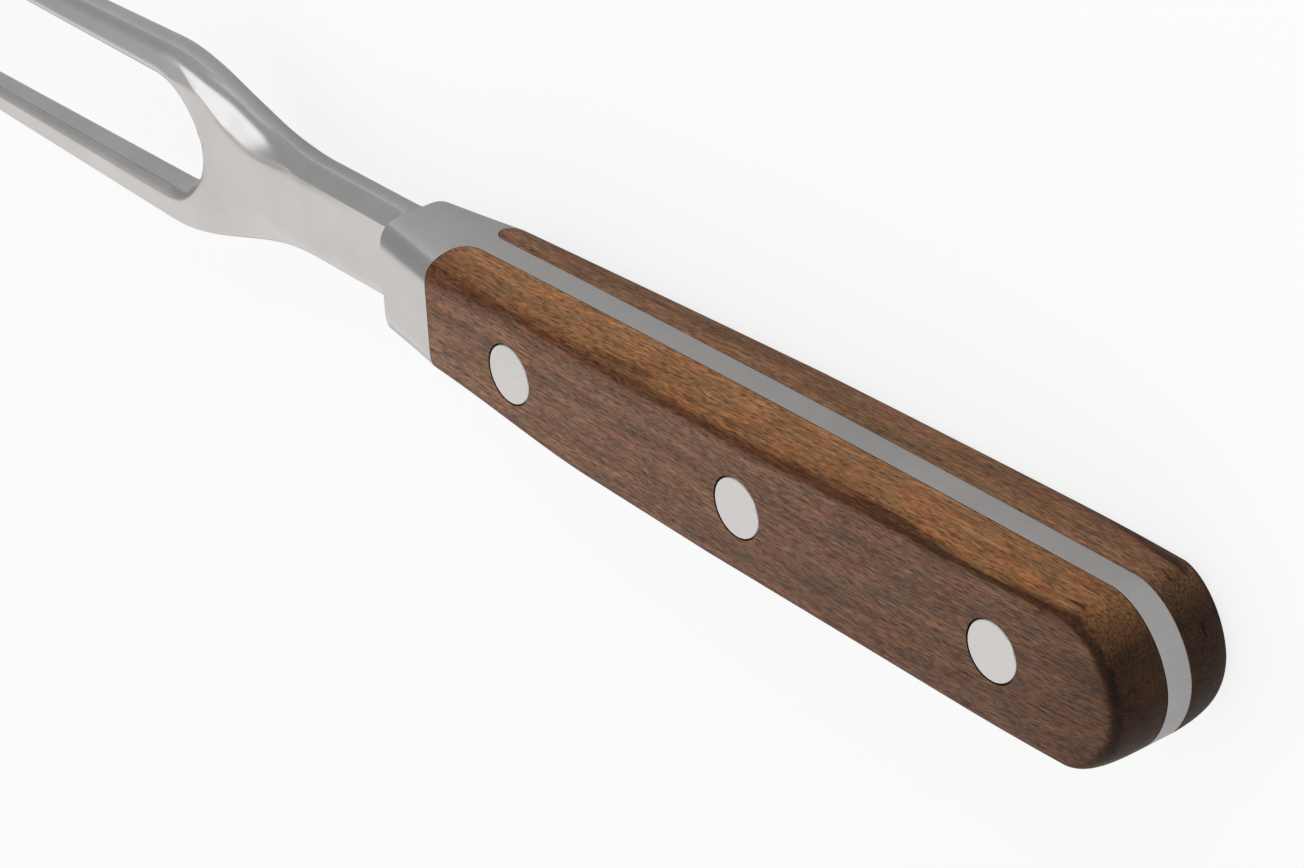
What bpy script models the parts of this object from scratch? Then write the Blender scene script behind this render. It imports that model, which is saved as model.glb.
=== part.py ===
"""Two-tine carving fork with a riveted full-tang wooden handle.

The fork lies on its side: +X runs from the butt to the tine tips, -Y is the spine,
+Z is up, and the lower wooden scale rests on Z = 0.
Sizes are in millimetres until a mesh is made, which is in metres.
"""

import math

import bmesh
import bpy
from mathutils import Vector
from mathutils.geometry import intersect_point_line

MM = 0.001

# Lengths along the fork, from the butt end to the tine tips
SCALE_LENGTH = 113.3
BOLSTER_LENGTH = 11.0
BLADE_LENGTH = 175.0

# Thickness of the handle, across the tang
HANDLE_THICKNESS = 18.0
BUTT_THICKNESS = 16.2
JOINT_THICKNESS = 15.8
BOLSTER_FRONT_THICKNESS = 11.8
BUTT_THINNING_END = 24.0
FRONT_THINNING_START = 64.0
TANG_THICKNESS = 3.2
TANG_FILLET = 2.4

# Side outline of the handle, measured from the fork's axis
SPINE_AT_BUTT = 7.8
SPINE_AT_MIDDLE = 8.0
SPINE_AT_BOLSTER = 7.0
BELLY_AT_BUTT = 11.1
BELLY_BEFORE_RISE = 10.0
BELLY_AT_BOLSTER = 7.6
BELLY_RISE_LENGTH = 34.0
BUTT_ROUND_LENGTH = 8.0
BUTT_ROUND_POWER = 1.85

# Round-over of the handle's long edges, from the tang to the flat side
ROUND_AT_END = 2.2
ROUND_AT_BUTT = 1.3
ROUND_AT_BOLSTER = 4.3
ROUND_POWER = 2.0

# Neck and tines
BLADE_ROOT_DEPTH = 3.7
NECK_WIDTH = 12.0
NECK_THICKNESS = 5.2
NECK_ROOT_FLARE = 1.0
NECK_ROOT_FLARE_LENGTH = 3.0
FLARE_START = 19.0
FLARE_END = 48.0
CROTCH_FROM_BOLSTER = 40.8
CROTCH_ROUND_LENGTH = 9.0
TINE_GAP = 14.6
TINE_WIDTH = 4.7
TINE_THICKNESS = 4.6
TINE_TIP_WIDTH = 1.0
TINE_TIP_ROUND = 5.0
BLADE_EDGE_ROUND = 2.5
BLADE_EDGE_POWER = 2.6

# Two-part compression rivets
RIVET_PITCH = 40.0
REAR_RIVET_FROM_BUTT = 18.1
RIVET_LINE_BELOW_AXIS = 1.15
RIVET_HEAD_DIAMETER = 7.2
RIVET_HEAD_THICKNESS = 2.2
RIVET_TUBE_DIAMETER = 5.0
RIVET_PIN_DIAMETER = 2.8

# Gap left between any two neighbouring pieces
FIT_GAP = 0.25

# How finely curves are divided
HANDLE_STATIONS = 26
BOLSTER_STATIONS = 3
BUTT_STATIONS = 14
ROUND_STEPS = 7
NECK_STATIONS = 18
CROTCH_STATIONS = 10
TINE_STATIONS = 16
TIP_STATIONS = 5
ACROSS_STEPS = 10
RIVET_SEGMENTS = 48
FILLET_STEPS = 6
SHARP_ANGLE = math.radians(32.0)
MERGE_DISTANCE = 0.00001
LEAST_WIDTH = 0.01

# Colours, roughness and metallic value of each material
STEEL = ((0.60, 0.59, 0.58, 1.0), 0.28, 1.0)
WOOD = ((0.19, 0.085, 0.042, 1.0), 0.45, 0.0)
RIVET_STEEL = ((0.72, 0.71, 0.70, 1.0), 0.32, 1.0)

BOLSTER_FRONT = SCALE_LENGTH + BOLSTER_LENGTH
OVERALL_LENGTH = BOLSTER_FRONT + BLADE_LENGTH
MID_PLANE = HANDLE_THICKNESS / 2


def place(along, height, thickness):
    """Turn fork sizes into a world point.

    They are the length from the butt, the height towards the spine and the thickness from the tang.
    """
    return Vector((along - OVERALL_LENGTH / 2, -height, MID_PLANE + thickness)) * MM


def smooth_step(value):
    """Ease from 0 to 1 with level ends."""
    value = min(max(value, 0.0), 1.0)
    return value * value * (3.0 - 2.0 * value)


def mix(first, last, share):
    return first + (last - first) * share


def signed_power(value, power):
    return math.copysign(abs(value) ** power, value)


def new_object(name, mesh_builder, material=None):
    """Make an object from a bmesh. Without a material it is a hidden cutter or form."""
    bmesh.ops.remove_doubles(mesh_builder, verts=mesh_builder.verts, dist=MERGE_DISTANCE)
    bmesh.ops.recalc_face_normals(mesh_builder, faces=mesh_builder.faces)
    mesh = bpy.data.meshes.new(name)
    mesh_builder.to_mesh(mesh)
    mesh_builder.free()
    item = bpy.data.objects.new(name, mesh)
    bpy.context.scene.collection.objects.link(item)
    if material is None:
        item.hide_render = True
        item.display_type = 'WIRE'
    else:
        mesh.materials.append(material)
        mesh.shade_smooth()
        mesh.set_sharp_from_angle(angle=SHARP_ANGLE)
    return item


def new_material(name, finish):
    colour, roughness, metallic = finish
    material = bpy.data.materials.new(name)
    material.use_nodes = True
    shader = material.node_tree.nodes["Principled BSDF"]
    shader.inputs["Base Color"].default_value = colour
    shader.inputs["Roughness"].default_value = roughness
    shader.inputs["Metallic"].default_value = metallic
    return material


def boolean(item, operation, other):
    modifier = item.modifiers.new(operation.title() + "_" + other.name, 'BOOLEAN')
    modifier.operation = operation
    modifier.object = other
    modifier.solver = 'EXACT'


# Side outline and thickness of the handle

def spine_height(along):
    """The spine is one shallow arch through the heights at the butt, middle and bolster."""
    share = along / BOLSTER_FRONT
    bow = SPINE_AT_MIDDLE - (SPINE_AT_BUTT + SPINE_AT_BOLSTER) / 2
    return mix(SPINE_AT_BUTT, SPINE_AT_BOLSTER, share) + 4.0 * bow * share * (1.0 - share)


def belly_height(along):
    """The belly is almost straight and then rises to the bolster."""
    rise_end = SCALE_LENGTH + BOLSTER_LENGTH / 2
    rise_start = rise_end - BELLY_RISE_LENGTH
    depth = mix(BELLY_AT_BUTT, BELLY_BEFORE_RISE, along / rise_start)
    return -mix(depth, BELLY_AT_BOLSTER, smooth_step((along - rise_start) / BELLY_RISE_LENGTH))


def half_thickness(along):
    """The sides are flat and parallel, curve in at the butt and slope in evenly towards the bolster.

    The fork's weight is over the slope, so it comes to rest on that flat stretch of the wood.
    """
    full = HANDLE_THICKNESS / 2
    joint = JOINT_THICKNESS / 2
    front = BOLSTER_FRONT_THICKNESS / 2
    if along < BUTT_THINNING_END:
        share = 1.0 - along / BUTT_THINNING_END
        return mix(full, BUTT_THICKNESS / 2, share * share)
    if along <= FRONT_THINNING_START:
        return full
    if along <= SCALE_LENGTH:
        share = (along - FRONT_THINNING_START) / (SCALE_LENGTH - FRONT_THINNING_START)
        return mix(full, joint, share)
    return mix(joint, front, (along - SCALE_LENGTH) / BOLSTER_LENGTH)


def round_width(along):
    """The round-over narrows from the bolster to the butt and is wider again round the butt's end."""
    long_edge = mix(ROUND_AT_BUTT, ROUND_AT_BOLSTER, along / BOLSTER_FRONT)
    return mix(ROUND_AT_END, long_edge, min(along / BUTT_ROUND_LENGTH, 1.0))


def handle_outline():
    """Points of the side outline from the bolster's top, round the butt, to the bolster's bottom."""
    alongs = []
    for step in range(BOLSTER_STATIONS):
        alongs.append(mix(BOLSTER_FRONT, SCALE_LENGTH, step / BOLSTER_STATIONS))
    for step in range(HANDLE_STATIONS + 1):
        alongs.append(mix(SCALE_LENGTH, BUTT_ROUND_LENGTH, step / HANDLE_STATIONS))
    top = [(along, spine_height(along)) for along in alongs]
    bottom = [(along, belly_height(along)) for along in reversed(alongs)]
    middle = (top[-1][1] + bottom[0][1]) / 2
    half_height = (top[-1][1] - bottom[0][1]) / 2
    butt = []
    for step in range(1, BUTT_STATIONS):
        angle = math.pi * step / BUTT_STATIONS
        back = math.sin(angle) ** (2.0 / BUTT_ROUND_POWER)
        side = signed_power(math.cos(angle), 2.0 / BUTT_ROUND_POWER)
        butt.append((BUTT_ROUND_LENGTH * (1.0 - back), middle + half_height * side))
    return [Vector(point) for point in top + butt + bottom]


def inward_directions(outline):
    """Unit vectors that point into the outline, square to the axis at both open ends."""
    directions = []
    for index in range(len(outline)):
        before = outline[max(index - 1, 0)]
        after = outline[min(index + 1, len(outline) - 1)]
        run = (after - before).normalized()
        directions.append(Vector((-run.y, run.x)))
    directions[0] = Vector((0.0, -1.0))
    directions[-1] = Vector((0.0, 1.0))
    return directions


def handle_form():
    """The whole outside of the handle and bolster as one body, which the pieces are cut from."""
    builder = bmesh.new()
    outline = handle_outline()
    inward = inward_directions(outline)
    half_tang = TANG_THICKNESS / 2
    rings = []
    for side in (1, -1):
        side_rings = []
        for step in range(ROUND_STEPS + 1):
            angle = math.pi / 2 * step / ROUND_STEPS
            out = math.sin(angle) ** (2.0 / ROUND_POWER)
            down = 1.0 - max(math.cos(angle), 0.0) ** (2.0 / ROUND_POWER)
            ring = []
            for point, direction in zip(outline, inward):
                moved = point + direction * round_width(point.x) * down
                thickness = mix(half_tang, half_thickness(moved.x), out)
                ring.append(builder.verts.new(place(moved.x, moved.y, side * thickness)))
            side_rings.append(ring)
        rings.append(side_rings)
    strips = [(rings[0][0], rings[1][0])]
    for side_rings in rings:
        strips += zip(side_rings[:-1], side_rings[1:])
    for first, second in strips:
        for index in range(len(outline) - 1):
            builder.faces.new((first[index], first[index + 1], second[index + 1], second[index]))
    for side_rings in rings:
        edge = side_rings[-1]
        last = len(edge) - 1
        for index in range(last // 2):
            corners = [edge[index], edge[index + 1], edge[last - index - 1], edge[last - index]]
            if corners[1] is corners[2]:
                corners.pop(2)
            builder.faces.new(corners)
    open_edges = [edge for edge in builder.edges if edge.is_boundary]
    bmesh.ops.holes_fill(builder, edges=open_edges)
    return new_object("handle_form", builder)


def fillet_points(radius):
    """The hollow corner between tang and bolster, as (along, thickness) from the tang outwards."""
    centre = (SCALE_LENGTH - TANG_FILLET, TANG_THICKNESS / 2 + TANG_FILLET)
    points = []
    for step in range(FILLET_STEPS + 1):
        angle = math.pi / 2 * step / FILLET_STEPS
        points.append((centre[0] + radius * math.sin(angle), centre[1] - radius * math.cos(angle)))
    return points


def plan_block(name, profile, material):
    """A block with a plan profile of (along, thickness) points, taller than the handle."""
    builder = bmesh.new()
    top_height = max(SPINE_AT_BUTT, SPINE_AT_MIDDLE, SPINE_AT_BOLSTER) * 2
    bottom_height = -max(BELLY_AT_BUTT, BELLY_BEFORE_RISE, BELLY_AT_BOLSTER) * 2
    top = [builder.verts.new(place(along, top_height, thickness)) for along, thickness in profile]
    bottom = [builder.verts.new(place(along, bottom_height, thickness)) for along, thickness in profile]
    builder.faces.new(top)
    builder.faces.new(bottom)
    for index in range(len(profile)):
        following = (index + 1) % len(profile)
        builder.faces.new((top[index], top[following], bottom[following], bottom[index]))
    return new_object(name, builder, material)


# Neck and tines

def blade_half_width(beyond):
    """Distance from the fork's axis to the outer edge, at a distance beyond the bolster."""
    neck = NECK_WIDTH / 2
    shoulder = TINE_GAP / 2 + TINE_WIDTH
    if beyond < NECK_ROOT_FLARE_LENGTH:
        root_share = 1.0 - max(beyond, 0.0) / NECK_ROOT_FLARE_LENGTH
        return neck + NECK_ROOT_FLARE * root_share * root_share
    if beyond <= FLARE_END:
        share = (beyond - FLARE_START) / (FLARE_END - FLARE_START)
        return mix(neck, shoulder, smooth_step(share))
    return TINE_GAP / 2 + tine_width(beyond)


def tip_round(beyond):
    """Shrinks a tine's width and thickness to a rounded point over its last stretch."""
    past = beyond - (BLADE_LENGTH - TINE_TIP_ROUND)
    if past <= 0.0:
        return 1.0
    share = min(past / TINE_TIP_ROUND, 1.0)
    return math.sqrt(max(1.0 - share * share, 0.0))


def tine_width(beyond):
    share = (beyond - FLARE_END) / (BLADE_LENGTH - FLARE_END)
    return mix(TINE_WIDTH, TINE_TIP_WIDTH, share) * tip_round(beyond)


def blade_half_thickness(beyond):
    neck = NECK_THICKNESS / 2
    tine = TINE_THICKNESS / 2
    if beyond < NECK_ROOT_FLARE_LENGTH:
        root_share = 1.0 - max(beyond, 0.0) / NECK_ROOT_FLARE_LENGTH
        return neck + NECK_ROOT_FLARE * root_share * root_share
    if beyond <= FLARE_END:
        return mix(neck, tine, (beyond - NECK_ROOT_FLARE_LENGTH) / (FLARE_END - NECK_ROOT_FLARE_LENGTH))
    share = (beyond - FLARE_END) / (BLADE_LENGTH - FLARE_END)
    return mix(tine, TINE_TIP_WIDTH / 2, share) * tip_round(beyond)


def edge_round(beyond):
    """How far in from its edge the blade reaches full thickness."""
    if beyond <= FLARE_END:
        return min(BLADE_EDGE_ROUND, TINE_WIDTH / 2)
    return min(BLADE_EDGE_ROUND, max(tine_width(beyond), LEAST_WIDTH) / 2)


def blade_columns():
    """Pairs of inner and outer points, from the root of the neck to the tip of a tine.

    The inner point of the neck lies on the axis, and further on it lies on the tine's inner edge.
    """
    columns = []
    fan_start = CROTCH_FROM_BOLSTER - CROTCH_ROUND_LENGTH / 2
    crotch_end = CROTCH_FROM_BOLSTER + CROTCH_ROUND_LENGTH
    half_gap = TINE_GAP / 2
    columns.append((Vector((-BLADE_ROOT_DEPTH, 0.0)), -BLADE_ROOT_DEPTH, False))
    for step in range(NECK_STATIONS):
        share = math.sin(math.pi / 2 * step / NECK_STATIONS)
        columns.append((Vector((CROTCH_FROM_BOLSTER * share, 0.0)), fan_start * share, False))
    for step in range(CROTCH_STATIONS):
        angle = math.pi / 2 * step / CROTCH_STATIONS
        reach = CROTCH_FROM_BOLSTER + CROTCH_ROUND_LENGTH * (1.0 - math.cos(angle))
        inner = Vector((reach, half_gap * math.sin(angle)))
        columns.append((inner, mix(fan_start, crotch_end, step / CROTCH_STATIONS), True))
    straight_end = BLADE_LENGTH - TINE_TIP_ROUND
    for step in range(TINE_STATIONS):
        beyond = mix(crotch_end, straight_end, step / TINE_STATIONS)
        columns.append((Vector((beyond, half_gap)), beyond, True))
    for step in range(TIP_STATIONS + 1):
        beyond = straight_end + TINE_TIP_ROUND * math.sin(math.pi / 2 * step / TIP_STATIONS)
        columns.append((Vector((beyond, half_gap)), beyond, True))
    return [(inner, Vector((outer, blade_half_width(outer))), open_inside)
            for inner, outer, open_inside in columns]


def distance_to_line(point, line):
    """Shortest distance from a point to a line of straight pieces."""
    nearest = math.inf
    for first, second in zip(line[:-1], line[1:]):
        if second == first:
            continue
        foot, share = intersect_point_line(point, first, second)
        foot = first + (second - first) * min(max(share, 0.0), 1.0)
        nearest = min(nearest, (point - foot).length)
    return nearest


def blade_form():
    """Neck and tines as one body: flat faces whose edges round over to the mid-plane."""
    columns = blade_columns()
    outer_line = [outer for inner, outer, open_inside in columns]
    inner_line = [inner for inner, outer, open_inside in columns if open_inside]
    builder = bmesh.new()
    grids = {(side, face): [] for side in (1, -1) for face in (1, -1)}
    for inner, outer, open_inside in columns:
        cells = []
        for step in range(ACROSS_STEPS + 1):
            if open_inside:
                share = (1.0 - math.cos(math.pi * step / ACROSS_STEPS)) / 2
            else:
                share = math.sin(math.pi / 2 * step / ACROSS_STEPS)
            point = inner.lerp(outer, share)
            margin = min(distance_to_line(point, outer_line), distance_to_line(point, inner_line))
            reach = min(margin / edge_round(point.x), 1.0)
            round_share = (1.0 - (1.0 - reach) ** BLADE_EDGE_POWER) ** (1.0 / BLADE_EDGE_POWER)
            cells.append((point, blade_half_thickness(point.x) * round_share))
        for (side, face), grid in grids.items():
            grid.append([builder.verts.new(place(BOLSTER_FRONT + point.x, side * point.y, face * half))
                         for point, half in cells])
    for grid in grids.values():
        for first, second in zip(grid[:-1], grid[1:]):
            for step in range(ACROSS_STEPS):
                builder.faces.new((first[step], first[step + 1], second[step + 1], second[step]))
    bmesh.ops.remove_doubles(builder, verts=builder.verts, dist=MERGE_DISTANCE)
    open_edges = [edge for edge in builder.edges if edge.is_boundary]
    bmesh.ops.holes_fill(builder, edges=open_edges)
    return new_object("blade_form", builder)


# Rivets and their holes

def turned_piece(name, profile, along, material=None):
    """A body turned about a rivet's axis from (radius, thickness) points, listed from end to end."""
    builder = bmesh.new()
    rings = []
    for radius, thickness in profile:
        ring = []
        for step in range(RIVET_SEGMENTS):
            angle = 2.0 * math.pi * step / RIVET_SEGMENTS
            height = radius * math.sin(angle) - RIVET_LINE_BELOW_AXIS
            ring.append(builder.verts.new(place(along + radius * math.cos(angle), height, thickness)))
        rings.append(ring)
    for first, second in zip(rings[:-1], rings[1:]):
        for step in range(RIVET_SEGMENTS):
            following = (step + 1) % RIVET_SEGMENTS
            builder.faces.new((first[step], first[following], second[following], second[step]))
    builder.faces.new(rings[0])
    builder.faces.new(rings[-1])
    return new_object(name, builder, material)


def rivet_shoulder(along):
    """Height of a head's inner face above the tang's mid-plane."""
    return half_thickness(along) - RIVET_HEAD_THICKNESS


def rivet_tube_profile(along):
    """Lower half: a head with a tube that reaches almost to the other head."""
    head = RIVET_HEAD_DIAMETER / 2
    tube = RIVET_TUBE_DIAMETER / 2
    bore = RIVET_PIN_DIAMETER / 2 + FIT_GAP
    inner_face = rivet_shoulder(along)
    beyond_side = half_thickness(along) + RIVET_HEAD_THICKNESS
    mouth = inner_face - FIT_GAP
    return [(head, -beyond_side), (head, -inner_face), (tube, -inner_face),
            (tube, mouth), (bore, mouth), (bore, -inner_face)]


def rivet_pin_profile(along):
    """Upper half: a head with a solid pin that goes down into the tube."""
    head = RIVET_HEAD_DIAMETER / 2
    pin = RIVET_PIN_DIAMETER / 2
    inner_face = rivet_shoulder(along)
    beyond_side = half_thickness(along) + RIVET_HEAD_THICKNESS
    return [(head, beyond_side), (head, inner_face), (pin, inner_face), (pin, FIT_GAP - inner_face)]


def rivet_hole_profile(along):
    """Stepped hole through both scales and the tang, a fit gap wider than the rivet."""
    head = RIVET_HEAD_DIAMETER / 2 + FIT_GAP
    tube = RIVET_TUBE_DIAMETER / 2 + FIT_GAP
    inner_face = rivet_shoulder(along) - FIT_GAP
    beyond_side = half_thickness(along) + 2 * RIVET_HEAD_THICKNESS
    return [(head, -beyond_side), (head, -inner_face), (tube, -inner_face),
            (tube, inner_face), (head, inner_face), (head, beyond_side)]


for old in list(bpy.data.objects):
    bpy.data.objects.remove(old)

steel = new_material("brushed_steel", STEEL)
wood = new_material("oiled_wood", WOOD)
rivet_steel = new_material("rivet_steel", RIVET_STEEL)

form = handle_form()
blade = blade_form()
wide = HANDLE_THICKNESS
behind_butt = -BUTT_ROUND_LENGTH
before_bolster = BOLSTER_FRONT + BOLSTER_LENGTH

rivets = {}
holes = []
for number, rivet_name in enumerate(("rear_rivet", "middle_rivet", "front_rivet")):
    along = REAR_RIVET_FROM_BUTT + number * RIVET_PITCH
    rivets[rivet_name] = along
    holes.append(turned_piece(rivet_name + "_hole", rivet_hole_profile(along), along))

# The forging: tang, bolster, neck and tines in one piece of steel
half_profile = [(behind_butt, TANG_THICKNESS / 2)] + fillet_points(TANG_FILLET)
half_profile += [(SCALE_LENGTH, wide), (before_bolster, wide)]
mirrored = [(along, -thickness) for along, thickness in reversed(half_profile)]
fork = plan_block("fork_forging", half_profile + mirrored, steel)
boolean(fork, 'INTERSECT', form)
boolean(fork, 'UNION', blade)
for hole in holes:
    boolean(fork, 'DIFFERENCE', hole)

# The two wooden scales, each bored for the three rivets
inner_face = TANG_THICKNESS / 2 + FIT_GAP
scale_profile = [(behind_butt, inner_face)] + fillet_points(TANG_FILLET - FIT_GAP)
scale_profile += [(SCALE_LENGTH - FIT_GAP, wide), (behind_butt, wide)]
for scale_name, side in (("upper_scale", 1), ("lower_scale", -1)):
    profile = [(along, side * thickness) for along, thickness in scale_profile]
    scale = plan_block(scale_name, profile, wood)
    boolean(scale, 'INTERSECT', form)
    for hole in holes:
        boolean(scale, 'DIFFERENCE', hole)

# Each rivet is a tube half from below and a pin half from above, ground flush with the scales
for rivet_name, along in rivets.items():
    for half_name, half in (("_tube", rivet_tube_profile(along)), ("_pin", rivet_pin_profile(along))):
        rivet = turned_piece(rivet_name + half_name, half, along, rivet_steel)
        boolean(rivet, 'INTERSECT', form)
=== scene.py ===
import math

import bmesh
import bpy
from mathutils import Matrix, Vector


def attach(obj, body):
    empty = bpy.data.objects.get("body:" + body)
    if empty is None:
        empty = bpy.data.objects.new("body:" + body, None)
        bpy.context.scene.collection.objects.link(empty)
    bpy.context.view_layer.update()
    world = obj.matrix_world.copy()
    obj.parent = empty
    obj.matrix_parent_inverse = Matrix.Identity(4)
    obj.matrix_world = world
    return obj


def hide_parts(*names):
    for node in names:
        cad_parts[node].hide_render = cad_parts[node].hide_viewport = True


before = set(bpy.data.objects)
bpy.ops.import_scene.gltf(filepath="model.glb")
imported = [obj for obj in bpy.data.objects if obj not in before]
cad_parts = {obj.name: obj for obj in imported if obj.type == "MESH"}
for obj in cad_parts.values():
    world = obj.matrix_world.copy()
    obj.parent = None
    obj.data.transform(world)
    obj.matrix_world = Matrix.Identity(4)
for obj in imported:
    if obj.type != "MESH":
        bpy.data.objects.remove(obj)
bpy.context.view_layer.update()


# The forging
# One bar of stainless steel, hammered out to tines, neck, bolster and full tang, then ground and brushed.
# The tang is ground flush with the wood, so its edge shows as a strip all round the handle.

# Sizes in millimetres: along from the butt, heights from the handle's axis, thickness over both sides
mm = 0.001
scale_length = 113.3
bolster_length = 11.0
blade_length = 175.0
bolster_front = scale_length + bolster_length
overall_length = bolster_front + blade_length
handle_thickness = 18.0
butt_thickness = 16.2
joint_thickness = 15.8
bolster_front_thickness = 11.8
butt_thinning_end = 24.0
front_thinning_start = 64.0
tang_thickness = 3.2
tang_fillet = 2.4
spine_at_butt = 7.8
spine_at_middle = 8.0
spine_at_bolster = 7.0
belly_at_butt = 11.1
belly_before_rise = 10.0
belly_at_bolster = 7.6
belly_rise_length = 34.0
butt_round_length = 8.0
butt_round_power = 1.85
round_at_end = 2.2
round_at_butt = 1.3
round_at_bolster = 4.3
upper_round_power = 3.3
lower_round_power = 2.0
fit_gap = 0.25
handle_stations = 130
bolster_stations = 16
butt_stations = 56
round_steps = 22
fillet_steps = 24
merge_distance = mm / 1000
crisp_angle = math.radians(32.0)


def mix(first, last, share):
    return first + (last - first) * share


def smooth_step(value):
    value = min(max(value, 0.0), 1.0)
    return value * value * (3.0 - 2.0 * value)


def place(along, height, thickness):
    """A world point from a length from the butt, a height to the spine and a thickness from the tang."""
    return Vector((along - overall_length / 2, -height, handle_thickness / 2 + thickness)) * mm


def spine_height(along):
    """A shallow bow, highest about a third of the way from the butt."""
    share = along / bolster_front
    bow = spine_at_middle - (spine_at_butt + spine_at_bolster) / 2
    return mix(spine_at_butt, spine_at_bolster, share) + 4.0 * bow * share * (1.0 - share)


def belly_height(along):
    """A straight line from the butt, then a soft rise to the bolster."""
    rise_start = scale_length + bolster_length / 2 - belly_rise_length
    depth = mix(belly_at_butt, belly_before_rise, along / rise_start)
    return -mix(depth, belly_at_bolster, smooth_step((along - rise_start) / belly_rise_length))


def half_thickness(along):
    """The sides curve in at the butt, run flat, then slope in evenly to the joint and along the bolster."""
    if along < butt_thinning_end:
        share = 1.0 - along / butt_thinning_end
        return mix(handle_thickness, butt_thickness, share * share) / 2
    if along < front_thinning_start:
        return handle_thickness / 2
    if along < scale_length:
        share = (along - front_thinning_start) / (scale_length - front_thinning_start)
        return mix(handle_thickness, joint_thickness, share) / 2
    return mix(joint_thickness, bolster_front_thickness, (along - scale_length) / bolster_length) / 2


def round_width(along):
    """How far in the edge's round-over reaches: most at the bolster, and more again at the butt's end."""
    long_edge = mix(round_at_butt, round_at_bolster, along / bolster_front)
    return mix(round_at_end, long_edge, min(along / butt_round_length, 1.0))


def handle_outline():
    """The handle's side outline from the bolster's top, round the butt, to the bolster's bottom."""
    alongs = [mix(bolster_front, scale_length, step / bolster_stations) for step in range(bolster_stations)]
    for step in range(handle_stations + 1):
        alongs.append(mix(scale_length, butt_round_length, step / handle_stations))
    top = [(along, spine_height(along)) for along in alongs]
    bottom = [(along, belly_height(along)) for along in reversed(alongs)]
    middle = (top[-1][1] + bottom[0][1]) / 2
    half_height = (top[-1][1] - bottom[0][1]) / 2
    butt = []
    for step in range(1, butt_stations):
        angle = math.pi * step / butt_stations
        back = math.sin(angle) ** (2.0 / butt_round_power)
        side = math.copysign(abs(math.cos(angle)) ** (2.0 / butt_round_power), math.cos(angle))
        butt.append((butt_round_length * (1.0 - back), middle + half_height * side))
    return [Vector(point) for point in top + butt + bottom]


def solid(name, builder):
    """Merge a mesh's doubled points, turn its faces one way round and make an object of it."""
    bmesh.ops.remove_doubles(builder, verts=builder.verts, dist=merge_distance)
    bmesh.ops.recalc_face_normals(builder, faces=builder.faces)
    mesh = bpy.data.meshes.new(name)
    builder.to_mesh(mesh)
    builder.free()
    item = bpy.data.objects.new(name, mesh)
    bpy.context.scene.collection.objects.link(item)
    return item


def handle_form():
    """The outside of handle and bolster as one body, from which the tang and the scales are cut."""
    builder = bmesh.new()
    outline = handle_outline()
    inward = []
    for index in range(len(outline)):
        run = outline[min(index + 1, len(outline) - 1)] - outline[max(index - 1, 0)]
        inward.append(Vector((-run.y, run.x)).normalized())
    inward[0] = Vector((0.0, -1.0))
    inward[-1] = Vector((0.0, 1.0))
    sides = []
    for side, power in ((1, upper_round_power), (-1, lower_round_power)):
        rings = []
        for step in range(round_steps + 1):
            angle = math.pi / 2 * step / round_steps
            inset = 1.0 - math.cos(angle) ** (2.0 / power)
            rise = math.sin(angle) ** (2.0 / power)
            ring = []
            for point, direction in zip(outline, inward):
                moved = point + direction * round_width(point.x) * inset
                thickness = mix(tang_thickness / 2, half_thickness(moved.x), rise)
                ring.append(builder.verts.new(place(moved.x, moved.y, side * thickness)))
            rings.append(ring)
        sides.append(rings)
    strips = [(sides[0][0], sides[1][0])]
    for rings in sides:
        strips += zip(rings[:-1], rings[1:])
    for first, second in strips:
        for index in range(len(outline) - 1):
            builder.faces.new((first[index], first[index + 1], second[index + 1], second[index]))
    for rings in sides:
        edge = rings[-1]
        last = len(edge) - 1
        for index in range(last // 2):
            corners = [edge[index], edge[index + 1], edge[last - index - 1], edge[last - index]]
            if corners[1] is corners[2]:
                corners.pop(2)
            builder.faces.new(corners)
    front_edges = [edge for edge in builder.edges if edge.is_boundary]
    bmesh.ops.holes_fill(builder, edges=front_edges)
    return solid("handle_form", builder)


def plan_block(name, profile):
    """A block with a plan profile of (along, thickness) points, taller than the handle."""
    builder = bmesh.new()
    reach = handle_thickness
    top = [builder.verts.new(place(along, reach, thickness)) for along, thickness in profile]
    bottom = [builder.verts.new(place(along, -reach, thickness)) for along, thickness in profile]
    builder.faces.new(top)
    builder.faces.new(bottom)
    for index in range(len(profile)):
        after = (index + 1) % len(profile)
        builder.faces.new((top[index], top[after], bottom[after], bottom[index]))
    return solid(name, builder)


def fillet_points(radius):
    """The hollow corner between tang and bolster, as (along, thickness) from the tang outwards."""
    centre_along = scale_length - tang_fillet
    centre_thickness = tang_thickness / 2 + tang_fillet
    points = []
    for step in range(fillet_steps + 1):
        angle = math.pi / 2 * step / fillet_steps
        along = centre_along + radius * math.sin(angle)
        points.append((along, centre_thickness - radius * math.cos(angle)))
    return points


def combine(item, operation, other):
    """Add a step that cuts an object with another one or joins the two."""
    modifier = item.modifiers.new(operation.title(), 'BOOLEAN')
    modifier.operation = operation
    modifier.object = other
    modifier.solver = 'MANIFOLD'


def plain_mesh(item):
    """Turn an object's modifiers into its own plain mesh."""
    bpy.context.view_layer.update()
    evaluated = item.evaluated_get(bpy.context.evaluated_depsgraph_get())
    mesh = bpy.data.meshes.new_from_object(evaluated)
    item.modifiers.clear()
    mesh.name = item.name
    item.data = mesh
    return item


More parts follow.
